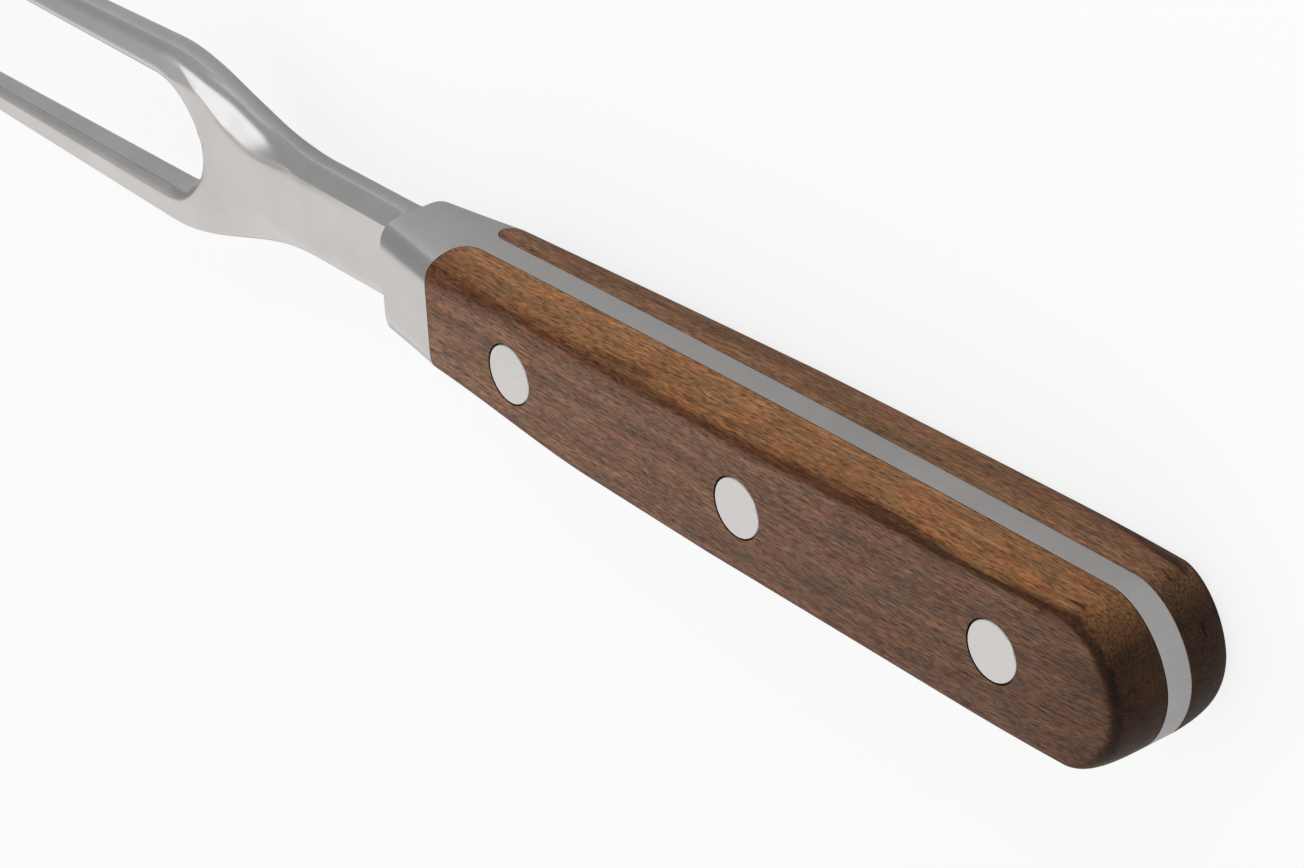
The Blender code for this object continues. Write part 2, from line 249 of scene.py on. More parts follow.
def finish_surface(item, material):
    """Smooth the curves, keep the corners crisp and let the flat faces set the shading next to them."""
    plain_mesh(item)
    mesh = item.data
    mesh.materials.clear()
    mesh.materials.append(material)
    mesh.polygons.foreach_set("material_index", [0] * len(mesh.polygons))
    mesh.shade_smooth()
    mesh.set_sharp_from_angle(angle=crisp_angle)
    even = item.modifiers.new("Even shading", 'WEIGHTED_NORMAL')
    even.keep_sharp = True
    plain_mesh(item)


# Plan and thickness of neck and tines, measured from the bolster's front

blade_root_depth = 3.7
neck_width = 12.0
neck_thickness = 5.2
neck_root_flare = 1.0
neck_root_flare_length = 3.0
flare_start = 19.0
flare_end = 48.0
crotch_from_bolster = 40.8
crotch_round_length = 9.0
tine_gap = 14.6
tine_width = 4.7
tine_thickness = 4.6
tine_tip_width = 1.0
tine_tip_round = 5.0

# The least sizes to divide by, because the tines end in a point
least_width = 0.025
least_thickness = 0.25

# Ground slopes along the outer edges: their reach inwards, where it changes, and how steep they are
neck_bevel = 1.75
flare_bevel = 3.9
flare_bevel_end = 2.8
flare_bevel_start = 22.0
flare_bevel_full = 32.0
flare_bevel_run_on = 34.0
neck_bevel_slope = 0.72
flare_bevel_slope = 0.31
tine_flat_share = 0.21
tine_edge_share = 0.75

# Round-overs of the edges, and what the belly's side and the far side keep of slopes and round-overs
neck_rim_round = 1.8
tine_rim_round = 1.6
tine_inner_round = 2.0
crotch_round = 0.7
rim_power = 2.0
inner_power = 2.8
belly_bevel_share = 0.35
belly_rim_share = 0.45
far_bevel_share = 0.35
far_crispness = 2.1

# Points along and across the plate
neck_stations = 70
crotch_stations = 60
tine_stations = 70
tip_stations = 14
rim_share = 0.3
rim_steps = 9
bevel_steps = 10
flat_steps = 6
slope_step = 0.5


def tine_taper(beyond, full, tip):
    """A tine's width or thickness: an even taper that rounds off over the last stretch."""
    size = mix(full, tip, (beyond - flare_end) / (blade_length - flare_end))
    past = max(beyond - (blade_length - tine_tip_round), 0.0) / tine_tip_round
    return size * math.sqrt(max(1.0 - past * past, 0.0))


def root_swelling(beyond):
    """What the neck gains on each side where it runs into the bolster."""
    share = 1.0 - min(max(beyond, 0.0) / neck_root_flare_length, 1.0)
    return neck_root_flare * share * share


def blade_half_width(beyond):
    if beyond > flare_end:
        return tine_gap / 2 + tine_taper(beyond, tine_width, tine_tip_width)
    share = smooth_step((beyond - flare_start) / (flare_end - flare_start))
    return mix(neck_width / 2, tine_gap / 2 + tine_width, share) + root_swelling(beyond)


def blade_half_thickness(beyond):
    if beyond > flare_end:
        return tine_taper(beyond, tine_thickness, tine_tip_width) / 2
    share = max(beyond - neck_root_flare_length, 0.0) / (flare_end - neck_root_flare_length)
    return mix(neck_thickness, tine_thickness, share) / 2 + root_swelling(beyond)


def blade_columns():
    """Pairs of an inner and an outer point, from the root of the neck to the tip of a tine."""
    fan_start = crotch_from_bolster - crotch_round_length / 2
    crotch_end = crotch_from_bolster + crotch_round_length
    columns = [(-blade_root_depth, 0.0, -blade_root_depth)]
    for step in range(neck_stations):
        share = math.sin(math.pi / 2 * step / neck_stations)
        columns.append((crotch_from_bolster * share, 0.0, fan_start * share))
    for step in range(crotch_stations):
        angle = math.pi / 2 * step / crotch_stations
        inner = crotch_from_bolster + crotch_round_length * (1.0 - math.cos(angle))
        outer = mix(fan_start, crotch_end, step / crotch_stations)
        columns.append((inner, tine_gap / 2 * math.sin(angle), outer))
    straight_end = blade_length - tine_tip_round
    for step in range(tine_stations):
        beyond = mix(crotch_end, straight_end, step / tine_stations)
        columns.append((beyond, tine_gap / 2, beyond))
    for step in range(tip_stations + 1):
        beyond = straight_end + tine_tip_round * math.sin(math.pi / 2 * step / tip_stations)
        columns.append((beyond, tine_gap / 2, beyond))
    pairs = []
    for inner, inner_width, outer in columns:
        pairs.append((Vector((inner, inner_width)), Vector((outer, blade_half_width(outer)))))
    return pairs


def flare_outline(beyond):
    """Half the width that the bevel follows, and its slope: it runs straight on past the tines' roots."""
    turn = min(beyond, flare_bevel_run_on)
    rise = blade_half_width(turn + slope_step) - blade_half_width(turn - slope_step)
    slope = rise / (2 * slope_step)
    return blade_half_width(turn) + slope * (beyond - turn), slope


def flare_bevel_at(beyond):
    """How far the bevel of neck and flare reaches in from its outline, and how steeply it slopes."""
    if beyond > flare_bevel_run_on:
        share = smooth_step((beyond - flare_bevel_run_on) / (crotch_from_bolster - flare_bevel_run_on))
        return mix(flare_bevel, flare_bevel_end, share), flare_bevel_slope
    share = smooth_step((beyond - flare_bevel_start) / (flare_bevel_full - flare_bevel_start))
    return mix(neck_bevel, flare_bevel, share), mix(neck_bevel_slope, flare_bevel_slope, share)


def tine_width_at(beyond):
    return max(tine_taper(max(beyond, flare_end), tine_width, tine_tip_width), least_width)


def rim_round(beyond):
    """The round-over of the outer edge: wide along neck and flare, narrower as the tines taper."""
    if beyond > flare_end:
        return tine_rim_round * tine_width_at(beyond) / tine_width
    share = smooth_step((beyond - flare_bevel_run_on) / (flare_end - flare_bevel_run_on))
    return mix(neck_rim_round, tine_rim_round, share)


def inner_round(beyond):
    """The round-over inside the fork: small at the crotch, wide along the tines."""
    if beyond > flare_end:
        return tine_inner_round * tine_width_at(beyond) / tine_width
    share = smooth_step((beyond - crotch_from_bolster) / (flare_end - crotch_from_bolster))
    return mix(crotch_round, tine_inner_round, share)


def thickness_left(point, bevel_share):
    """The share of the thickness that the slopes on neck, flare and the tines' outer sides leave."""
    half_width, slope = flare_outline(point.x)
    distance = (half_width - abs(point.y)) / math.hypot(1.0, slope)
    reach, steepness = flare_bevel_at(point.x)
    way_in = max(reach - distance, 0.0)
    flare_cut = steepness * way_in / max(blade_half_thickness(point.x), least_thickness)
    past_flat = (abs(point.y) - tine_gap / 2) / tine_width_at(point.x) - tine_flat_share
    tine_cut = (1.0 - tine_edge_share) * max(past_flat, 0.0) / (1.0 - tine_flat_share)
    return 1.0 - bevel_share * max(flare_cut, tine_cut)


def bevel_shares():
    """Shares of a bevel's reach, from the edge in: close together on the rounded rim, then even."""
    shares = []
    for step in range(rim_steps):
        shares.append(rim_share * (1.0 - math.cos(math.pi / 2 * step / rim_steps)))
    for step in range(bevel_steps):
        shares.append(mix(rim_share, 1.0, step / bevel_steps))
    return shares


def shares_across(inner, outer):
    """Where points lie on the way from an outer to an inner one: on the slope, the flat, the inner edge."""
    width = max((outer - inner).length, least_width)
    bevel = min(flare_bevel_at(outer.x)[0], tine_width_at(outer.x) * (1.0 - tine_flat_share))
    outer_share = min(bevel / width, 1.0 - tine_flat_share)
    inner_share = max(1.0 - inner_round(inner.x) / width, outer_share)
    shares = [outer_share * share for share in bevel_shares()]
    shares += [mix(outer_share, inner_share, step / flat_steps) for step in range(flat_steps + 1)]
    shares += [mix(1.0, inner_share, share) for share in reversed(bevel_shares())]
    return shares


def blade_plate():
    """The flat plate, facing up. Each point knows the thickness there and what the bevels leave of it."""
    builder = bmesh.new()
    depth_layer = builder.verts.layers.float.new("full_half_thickness")
    near_layer = builder.verts.layers.float.new("near_share")
    far_layer = builder.verts.layers.float.new("far_share")
    outer_layer = builder.verts.layers.float.new("rim_scale")
    inner_layer = builder.verts.layers.float.new("inner_scale")
    rim_layer = builder.verts.layers.float.new("outer_rim")
    spine_side = (1, 1.0, 1.0)
    belly_side = (-1, belly_bevel_share, belly_rim_share)
    for side, near_bevel_share, side_rim_share in (spine_side, belly_side):
        rows = []
        for inner, outer in blade_columns():
            row = []
            for share in shares_across(inner, outer):
                point = outer.lerp(inner, share)
                vertex = builder.verts.new(place(bolster_front + point.x, side * point.y, 0.0))
                vertex[depth_layer] = blade_half_thickness(point.x) * mm
                vertex[near_layer] = thickness_left(point, near_bevel_share)
                vertex[far_layer] = thickness_left(point, far_bevel_share)
                vertex[outer_layer] = side_rim_share * rim_round(point.x) / tine_rim_round
                vertex[inner_layer] = inner_round(point.x) / tine_inner_round
                vertex[rim_layer] = 1.0 if share == 0.0 else 0.0
                row.append(vertex)
            rows.append(row)
        for first, second in zip(rows[:-1], rows[1:]):
            for step in range(len(first) - 1):
                builder.faces.new((first[step], first[step + 1], second[step + 1], second[step]))
    bmesh.ops.dissolve_degenerate(builder, edges=builder.edges, dist=merge_distance)
    plate = solid("blade_plate", builder)
    if plate.data.polygons[0].normal.z < 0.0:
        plate.data.flip_normals()
    return plate


# Node tree that swells the plate to a full body with bevelled edges, above and below the middle plane

def node(tree, kind, **settings):
    made = tree.nodes.new(kind)
    for name, value in settings.items():
        setattr(made, name, value)
    return made


def number(tree, operation, first, second=None):
    """A maths node on two values, each a socket or a number."""
    made = node(tree, 'ShaderNodeMath', operation=operation)
    for socket, value in zip(made.inputs, (first, second)):
        if isinstance(value, (int, float)):
            socket.default_value = value
        elif value is not None:
            tree.links.new(value, socket)
    return made.outputs[0]


def attribute(tree, name):
    made = node(tree, 'GeometryNodeInputNamedAttribute', data_type='FLOAT')
    made.inputs["Name"].default_value = name
    return made.outputs["Attribute"]


def new_tree(name, sockets):
    """A node tree from geometry to geometry, with the named inputs that are given as (name, kind)."""
    tree = bpy.data.node_groups.new(name, 'GeometryNodeTree')
    for socket_name, kind in (("Geometry", 'NodeSocketGeometry'),) + sockets:
        tree.interface.new_socket(socket_name, in_out='INPUT', socket_type=kind)
    tree.interface.new_socket("Geometry", in_out='OUTPUT', socket_type='NodeSocketGeometry')
    return tree, node(tree, 'NodeGroupInput')


def end_tree(tree, given, geometry):
    """Realize what the tree made, give it its material and hand it out."""
    realize = node(tree, 'GeometryNodeRealizeInstances')
    finish = node(tree, 'GeometryNodeSetMaterial')
    result = node(tree, 'NodeGroupOutput')
    tree.links.new(geometry, realize.inputs["Geometry"])
    tree.links.new(realize.outputs["Geometry"], finish.inputs["Geometry"])
    tree.links.new(given.outputs["Material"], finish.inputs["Material"])
    tree.links.new(finish.outputs["Geometry"], result.inputs["Geometry"])
    return tree


def rounded(tree, way, power):
    """Share of the full height on a round-over that starts upright at its edge and ends level."""
    short = number(tree, 'SUBTRACT', 1.0, number(tree, 'MINIMUM', way, 1.0))
    fall = number(tree, 'SUBTRACT', 1.0, number(tree, 'POWER', short, power))
    return number(tree, 'POWER', fall, 1.0 / power)


def bevelled_blade_tree():
    """Lifts the plate to its thickness on both sides, less the slopes and the rims' round-overs."""
    sockets = (
        ("Rim Round", 'NodeSocketFloat'),
        ("Inner Round", 'NodeSocketFloat'),
        ("Far Crispness", 'NodeSocketFloat'),
        ("Material", 'NodeSocketMaterial'),
    )
    tree, given = new_tree("bevelled_blade", sockets)
    neighbours = node(tree, 'GeometryNodeInputMeshEdgeNeighbors')
    is_rim = number(tree, 'COMPARE', neighbours.outputs[0], 1.0)
    # An edge lies on the outer rim where both its ends do, so that their mean is above this share
    both_ends = 0.9
    is_outer = number(tree, 'GREATER_THAN', attribute(tree, "outer_rim"), both_ends)
    is_inner = number(tree, 'SUBTRACT', 1.0, is_outer)
    edges = (
        (is_outer, "Rim Round", "rim_scale", rim_power),
        (is_inner, "Inner Round", "inner_scale", inner_power),
    )
    ways = []
    for side, size, scale, power in edges:
        rim = node(tree, 'GeometryNodeSeparateGeometry', domain='EDGE')
        tree.links.new(given.outputs["Geometry"], rim.inputs["Geometry"])
        tree.links.new(number(tree, 'MULTIPLY', is_rim, side), rim.inputs["Selection"])
        proximity = node(tree, 'GeometryNodeProximity', target_element='EDGES')
        tree.links.new(rim.outputs["Selection"], proximity.inputs[0])
        reach = number(tree, 'MULTIPLY', given.outputs[size], attribute(tree, scale))
        ways.append((number(tree, 'DIVIDE', proximity.outputs["Distance"], reach), power))
    join = node(tree, 'GeometryNodeJoinGeometry')
    halves = ((1.0, "near_share", 1.0), (-1.0, "far_share", given.outputs["Far Crispness"]))
    for direction, left, crispness in halves:
        height = number(tree, 'MULTIPLY', attribute(tree, left), attribute(tree, "full_half_thickness"))
        for way, power in ways:
            crisp_way = number(tree, 'MULTIPLY', way, crispness)
            height = number(tree, 'MULTIPLY', height, rounded(tree, crisp_way, power))
        offset = node(tree, 'ShaderNodeCombineXYZ')
        tree.links.new(number(tree, 'MULTIPLY', height, direction), offset.inputs["Z"])
        face = node(tree, 'GeometryNodeSetPosition')
        tree.links.new(given.outputs["Geometry"], face.inputs["Geometry"])
        tree.links.new(offset.outputs[0], face.inputs["Offset"])
        turned = face
        if direction < 0.0:
            turned = node(tree, 'GeometryNodeFlipFaces')
            tree.links.new(face.outputs["Geometry"], turned.inputs["Mesh"])
        tree.links.new(turned.outputs[0], join.inputs["Geometry"])
    merge = node(tree, 'GeometryNodeMergeByDistance')
    merge.inputs["Distance"].default_value = merge_distance
    tree.links.new(join.outputs["Geometry"], merge.inputs["Geometry"])
    return end_tree(tree, given, merge.outputs["Geometry"])


def grow(item, tree, inputs):
    """Run a node tree on an object with its named inputs, and keep the result as a plain mesh."""
    modifier = item.modifiers.new(tree.name, 'NODES')
    modifier.node_group = tree
    for socket in tree.interface.items_tree:
        if socket.in_out == 'INPUT' and socket.name in inputs:
            modifier[socket.identifier] = inputs[socket.name]
    return plain_mesh(item)


# Steel: satin, with fine brush lines that run across the tang's edge and are a fine grain on the flat faces

# Cells to the metre along X, Y and Z, and the range in which nearly all values of a noise lie
steel_line_cells = (5200.0, 5200.0, 260.0)
steel_cloud_cells = (90.0, 90.0, 90.0)
noise_range = (0.3, 0.7)
plain_detail = 2.0
plain_roughness = 0.5
dull_steel = (0.50, 0.495, 0.49, 1.0)
bright_steel = (0.56, 0.552, 0.545, 1.0)
steel_line_tones = (0.965, 1.03)
steel_roughness = (0.22, 0.26)
steel_line_strength = 0.03
steel_line_height = 0.00003


def new_material(name):
    material = bpy.data.materials.new(name)
    material.use_nodes = True
    tree = material.node_tree
    return material, tree, tree.nodes["Principled BSDF"]


def stretched(tree, cells, source):
    """Coordinates with as many cells to the metre each way as cells says."""
    mapping = node(tree, 'ShaderNodeMapping')
    mapping.inputs["Scale"].default_value = cells
    tree.links.new(source, mapping.inputs["Vector"])
    return mapping.outputs["Vector"]


def stretched_noise(tree, cells, source, detail=plain_detail, roughness=plain_roughness):
    texture = node(tree, 'ShaderNodeTexNoise')
    texture.inputs["Scale"].default_value = 1.0
    texture.inputs["Detail"].default_value = detail
    texture.inputs["Roughness"].default_value = roughness
    tree.links.new(stretched(tree, cells, source), texture.inputs["Vector"])
    return texture.outputs["Fac"]


def ramp(tree, value, positions, colours):
    """Colours along a value, each at its position."""
    made = node(tree, 'ShaderNodeValToRGB')
    elements = made.color_ramp.elements
    while len(elements) < len(positions):
        elements.new(1.0)
    for element, position, colour in zip(elements, positions, colours):
        element.position = position
        element.color = colour
    tree.links.new(value, made.inputs["Fac"])
    return made.outputs["Color"]


def bump(tree, shader, height, strength, distance):
    made = node(tree, 'ShaderNodeBump')
    made.inputs["Strength"].default_value = strength
    made.inputs["Distance"].default_value = distance
    tree.links.new(height, made.inputs["Height"])
    tree.links.new(made.outputs["Normal"], shader.inputs["Normal"])


def spread_out(tree, value, given_range, new_range, way='LINEAR'):
    """Map a value from one range to another, without going past its ends."""
    made = node(tree, 'ShaderNodeMapRange', interpolation_type=way)
    names = ("From Min", "From Max", "To Min", "To Max")
    for name, setting in zip(names, given_range + new_range):
        made.inputs[name].default_value = setting
    tree.links.new(value, made.inputs["Value"])
    return made.outputs["Result"]


def scaled(tree, colour, tone):
    """A colour made lighter or darker by a tone."""
    made = node(tree, 'ShaderNodeVectorMath', operation='SCALE')
    tree.links.new(colour, made.inputs[0])
    tree.links.new(tone, made.inputs["Scale"])
    return made.outputs[0]


def brushed_steel():
    material, tree, shader = new_material("brushed_steel")
    position = node(tree, 'ShaderNodeTexCoord').outputs["Object"]
    lines = stretched_noise(tree, steel_line_cells, position)
    clouds = stretched_noise(tree, steel_cloud_cells, position)
    colour = ramp(tree, clouds, noise_range, (dull_steel, bright_steel))
    line_tone = spread_out(tree, lines, noise_range, steel_line_tones)
    tree.links.new(scaled(tree, colour, line_tone), shader.inputs["Base Color"])
    tree.links.new(spread_out(tree, lines, noise_range, steel_roughness), shader.inputs["Roughness"])
    shader.inputs["Metallic"].default_value = 1.0
    bump(tree, shader, lines, steel_line_strength, steel_line_height)
    return material


# The three rivet holes are needed here for the tang, and again in the scales

rivet_names = ("rear", "middle", "front")
rivet_pitch = 40.0
rear_rivet_from_butt = 18.1
rivet_line_below_axis = 1.15
rivet_head_diameter = 7.2
rivet_head_thickness = 2.2
rivet_tube_diameter = 5.0
rivet_pin_diameter = 2.8
rivet_segments = 96
hairline = 0.1
rivet_places = [rear_rivet_from_butt + index * rivet_pitch for index in range(len(rivet_names))]


def turned_mesh(builder, profile, position):
    """Add a body turned about an upright axis from (radius, height) points, listed from end to end."""
    rings = []
    for radius, height in profile:
        ring = []
        for step in range(rivet_segments):
            angle = 2.0 * math.pi * step / rivet_segments
            spread = Vector((math.cos(angle), math.sin(angle), 0.0)) * radius * mm
            ring.append(builder.verts.new(position + spread + Vector((0.0, 0.0, height * mm))))
        rings.append(ring)
    for first, second in zip(rings[:-1], rings[1:]):
        for step in range(rivet_segments):
            after = (step + 1) % rivet_segments
            builder.faces.new((first[step], first[after], second[after], second[step]))
    builder.faces.new(rings[0])
    builder.faces.new(rings[-1])


def rivet_holes():
    """The three stepped holes as bodies to cut with, wide for the heads and narrow for the tubes."""
    builder = bmesh.new()
    head = rivet_head_diameter / 2 + hairline
    tube = rivet_tube_diameter / 2 + fit_gap
    outside = handle_thickness
    for along in rivet_places:
        shoulder = half_thickness(along) - rivet_head_thickness - fit_gap
        profile = [(head, -outside), (head, -shoulder), (tube, -shoulder)]
        profile += [(radius, -height) for radius, height in reversed(profile)]
        turned_mesh(builder, profile, place(along, -rivet_line_below_axis, 0.0))
    return solid("rivet_holes", builder)


steel = brushed_steel()
form = handle_form()
holes = rivet_holes()

blade = blade_plate()
blade_inputs = {
    "Rim Round": tine_rim_round * mm,
    "Inner Round": tine_inner_round * mm,
    "Far Crispness": far_crispness,
    "Material": steel,
}
grow(blade, bevelled_blade_tree(), blade_inputs)

half_profile = [(-butt_round_length, tang_thickness / 2)] + fillet_points(tang_fillet)
half_profile += [(scale_length, handle_thickness), (bolster_front + bolster_length, handle_thickness)]
half_profile += [(along, -thickness) for along, thickness in reversed(half_profile)]
forging = plan_block("forging", half_profile)
combine(forging, 'INTERSECT', form)
combine(forging, 'UNION', blade)
combine(forging, 'DIFFERENCE', holes)
finish_surface(forging, steel)
bpy.data.objects.remove(blade)
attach(forging, "root")
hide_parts("fork_forging")


# The two wooden scales
# Flat slabs of oiled walnut, one on each side of the tang, glued and riveted on.
# They are shaped and sanded together with the steel, so their outside runs on from the bolster.

# Colours of the growth layers from a board's side inwards, at the butt and at the bolster. They also paint
# light and shade: a dark streak of painted shade where the edges start to round over, and painted light in
# the orange inner and core colours further round.
layer_and_painted_light_depths = (0.005, 0.026, 0.095, 0.230, 0.900)
deepest_layer = 8.0
butt_layer_drop = 0.8
# The streak colours are painted shade, and the inner and core colours are painted light.
rear_surface = (0.102, 0.050, 0.029, 1.0)
rear_streak_painted_shade = (0.056, 0.019, 0.005, 1.0)
rear_inner_painted_light = (0.250, 0.106, 0.038, 1.0)
rear_core_painted_light = (0.280, 0.130, 0.052, 1.0)
rear_layers_and_painted_light = (rear_surface, rear_streak_painted_shade, rear_streak_painted_shade, rear_inner_painted_light, rear_core_painted_light)
# The bolster's side colour is painted lighter than the butt's, as a painted sheen.
front_surface_painted_sheen = (0.198, 0.101, 0.059, 1.0)
front_streak_painted_shade = (0.115, 0.044, 0.017, 1.0)
front_inner_painted_light = (0.208, 0.092, 0.036, 1.0)
front_core_painted_light = (0.255, 0.118, 0.048, 1.0)
front_layers_and_painted_light = (front_surface_painted_sheen, front_streak_painted_shade, front_streak_painted_shade, front_inner_painted_light, front_core_painted_light)
ruddy_tint = (1.0, 0.90, 0.84, 1.0)
greyish_tint = (0.86, 0.945, 0.98, 1.0)
flush_range = (0.35, 0.65)

# Cells to the metre along, across and through a board, for each kind of figure
wander_cells = (16.0, 60.0, 60.0)
layer_cells = (45.0, 380.0, 380.0)
flush_cells = (160.0, 700.0, 700.0)
band_cells = (9.0, 190.0, 150.0)
mottle_cells = (90.0, 520.0, 520.0)
fibre_cells = (700.0, 4600.0, 4600.0)
strand_cells = (140.0, 4000.0, 4000.0)
pore_cells = (620.0, 3800.0, 3800.0)
layer_detail = 4.0
band_detail = 3.0
lively_roughness = 0.6

# How far the grain wanders across and through a board, in metres, and how unevenly its layers lie
wander_reach = (0.0, 0.004, 0.004)
layer_unevenness = (0.15, 2.6)

# How much of the colour each kind of figure leaves, from one end of its range to the other
band_tones = (0.86, 1.34)
mottle_tones = (0.84, 1.16)
fibre_range = (0.28, 0.72)
fibre_tones = (0.52, 1.54)
strand_tones = (0.68, 1.3)
pore_range = (0.16, 0.42)
pore_tones = (0.45, 1.05)
butt_facing = (-0.1, -0.8)
butt_facing_tones = (1.0, 0.14)
wood_roughness = (0.54, 0.42)
wood_specular = 0.14
wood_grain_strength = 0.2
wood_grain_height = 0.0001
whole = (0.0, 1.0)


def blended(tree, share, first, second):
    """One colour that turns into another."""
    made = node(tree, 'ShaderNodeMix', data_type='RGBA')
    colour_sockets = [socket for socket in made.inputs if socket.type == 'RGBA']
    for socket, value in zip([made.inputs["Factor"]] + colour_sockets, (share, first, second)):
        tree.links.new(value, socket)
    return next(socket for socket in made.outputs if socket.type == 'RGBA')


def vector_maths(tree, operation, first, second):
    """A vector node on a socket and on a second value, which is a socket or three numbers."""
    made = node(tree, 'ShaderNodeVectorMath', operation=operation)
    tree.links.new(first, made.inputs[0])
    if isinstance(second, tuple):
        made.inputs[1].default_value = second
    else:
        tree.links.new(second, made.inputs[1])
    return made.outputs[0]


def wandering_grain(tree, shifted):
    """A board's coordinates, bent a little across and through it, as the tree grew."""
    texture = node(tree, 'ShaderNodeTexNoise')
    texture.inputs["Scale"].default_value = 1.0
    texture.inputs["Detail"].default_value = plain_detail
    texture.inputs["Roughness"].default_value = plain_roughness
    tree.links.new(stretched(tree, wander_cells, shifted), texture.inputs["Vector"])
    bend = node(tree, 'ShaderNodeVectorMath', operation='MULTIPLY_ADD')
    bend.inputs[1].default_value = wander_reach
    tree.links.new(texture.outputs["Color"], bend.inputs[0])
    tree.links.new(shifted, bend.inputs[2])
    return bend.outputs[0]


def layer_colour_and_painted_light(tree, position, shifted):
    """The colour at each point by its depth below the board's side: a growth-layer figure that also holds
    painted shade and painted light on the edges' round-overs, and a side painted lighter towards the
    bolster.
    """
    parts = node(tree, 'ShaderNodeSeparateXYZ')
    tree.links.new(position, parts.inputs[0])
    along = parts.outputs["X"]
    butt = place(0.0, 0.0, 0.0).x
    joint = place(scale_length, 0.0, 0.0).x
    front_taper = (place(front_thinning_start, 0.0, 0.0).x, joint)
    butt_curve = (place(butt_thinning_end, 0.0, 0.0).x, butt)
    side = spread_out(tree, along, front_taper, (handle_thickness / 2 * mm, joint_thickness / 2 * mm))
    curve_in = spread_out(tree, along, butt_curve, whole)
    thinned = number(tree, 'MULTIPLY', number(tree, 'MULTIPLY', curve_in, curve_in), butt_layer_drop * mm)
    from_tang = number(tree, 'SUBTRACT', parts.outputs["Z"], handle_thickness / 2 * mm)
    surface = number(tree, 'SUBTRACT', side, thinned)
    depth = number(tree, 'SUBTRACT', surface, number(tree, 'ABSOLUTE', from_tang))
    layers = stretched_noise(tree, layer_cells, shifted, layer_detail, lively_roughness)
    uneven = spread_out(tree, layers, noise_range, layer_unevenness)
    layer = spread_out(tree, number(tree, 'MULTIPLY', depth, uneven), (0.0, deepest_layer * mm), whole)
    rear = ramp(tree, layer, layer_and_painted_light_depths, rear_layers_and_painted_light)
    front = ramp(tree, layer, layer_and_painted_light_depths, front_layers_and_painted_light)
    # Blending towards the bolster also paints a lighter side there, as sheen, and a fainter streak of
    # painted shade.
    return blended(tree, spread_out(tree, along, (butt, joint), whole), rear, front)


def grain_tone(tree, bent, fibres, normal):
    """How much lighter or darker bands, mottle, fibres, strands and pores make the wood, and how much
    darker it is where a face turns towards the butt.
    """
    bands = stretched_noise(tree, band_cells, bent, band_detail, lively_roughness)
    mottle = stretched_noise(tree, mottle_cells, bent)
    strands = stretched_noise(tree, strand_cells, bent)
    pores = node(tree, 'ShaderNodeTexVoronoi')
    pores.inputs["Scale"].default_value = 1.0
    tree.links.new(stretched(tree, pore_cells, bent), pores.inputs["Vector"])
    facing_parts = node(tree, 'ShaderNodeSeparateXYZ')
    tree.links.new(normal, facing_parts.inputs[0])
    tones = (
        spread_out(tree, bands, noise_range, band_tones),
        spread_out(tree, mottle, noise_range, mottle_tones),
        spread_out(tree, fibres, fibre_range, fibre_tones),
        spread_out(tree, strands, noise_range, strand_tones),
        spread_out(tree, pores.outputs["Distance"], pore_range, pore_tones),
        # Darker where a face turns towards the butt.
        spread_out(tree, facing_parts.outputs["X"], butt_facing, butt_facing_tones),
    )
    tone = tones[0]
    for other in tones[1:]:
        tone = number(tree, 'MULTIPLY', tone, other)
    return tone


def oiled_walnut(name, board_shift, board_tint):
    """Flat-sawn walnut along X. Its growth layers lie along the board's side, so edges show deeper ones,
    whose colours also paint shade and light on the round-overs.
    """
    material, tree, shader = new_material(name)
    coordinates = node(tree, 'ShaderNodeTexCoord')
    position = coordinates.outputs["Object"]
    shifted = vector_maths(tree, 'ADD', position, board_shift)
    bent = wandering_grain(tree, shifted)
    fibres = stretched_noise(tree, fibre_cells, bent, roughness=lively_roughness)
    flush = stretched_noise(tree, flush_cells, bent)
    tint = ramp(tree, flush, flush_range, (ruddy_tint, greyish_tint))
    colour = vector_maths(tree, 'MULTIPLY', layer_colour_and_painted_light(tree, position, shifted), tint)
    board_colour = vector_maths(tree, 'MULTIPLY', colour, board_tint)
    tone = grain_tone(tree, bent, fibres, coordinates.outputs["Normal"])
    tree.links.new(scaled(tree, board_colour, tone), shader.inputs["Base Color"])
    tree.links.new(spread_out(tree, fibres, noise_range, wood_roughness), shader.inputs["Roughness"])
    shader.inputs["Specular IOR Level"].default_value = wood_specular
    bump(tree, shader, tone, wood_grain_strength, wood_grain_height)
    return material


scale_inside = tang_thickness / 2 + hairline
scale_profile = [(-butt_round_length, scale_inside)] + fillet_points(tang_fillet - hairline)
scale_profile += [(scale_length - hairline, handle_thickness), (-butt_round_length, handle_thickness)]
# Each board's side of the tang, the place in the log that it was cut from, and a tint, which leaves the
# lower board darker and cooler
boards = (
    ("upper", 1, (0.0, 0.0, 0.0), (1.0, 1.0, 1.0)),
    ("lower", -1, (0.31, 0.07, 0.11), (0.80, 0.86, 1.06)),
)
for scale_side, direction, board_shift, board_tint in boards:
    side_profile = [(along, direction * thickness) for along, thickness in scale_profile]
    scale = plan_block(scale_side + "_wood", side_profile)
    combine(scale, 'INTERSECT', form)
    combine(scale, 'DIFFERENCE', holes)
    finish_surface(scale, oiled_walnut("walnut_" + scale_side, board_shift, board_tint))
    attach(scale, "root")
    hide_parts(scale_side + "_scale")

bpy.data.objects.remove(form)
bpy.data.objects.remove(holes)


# The rivets
# Two-part compression rivets: a head with a tube from below, and a head with a pin that is pressed into it.
# Their heads are ground flush with the wood and keep fine grinding marks.

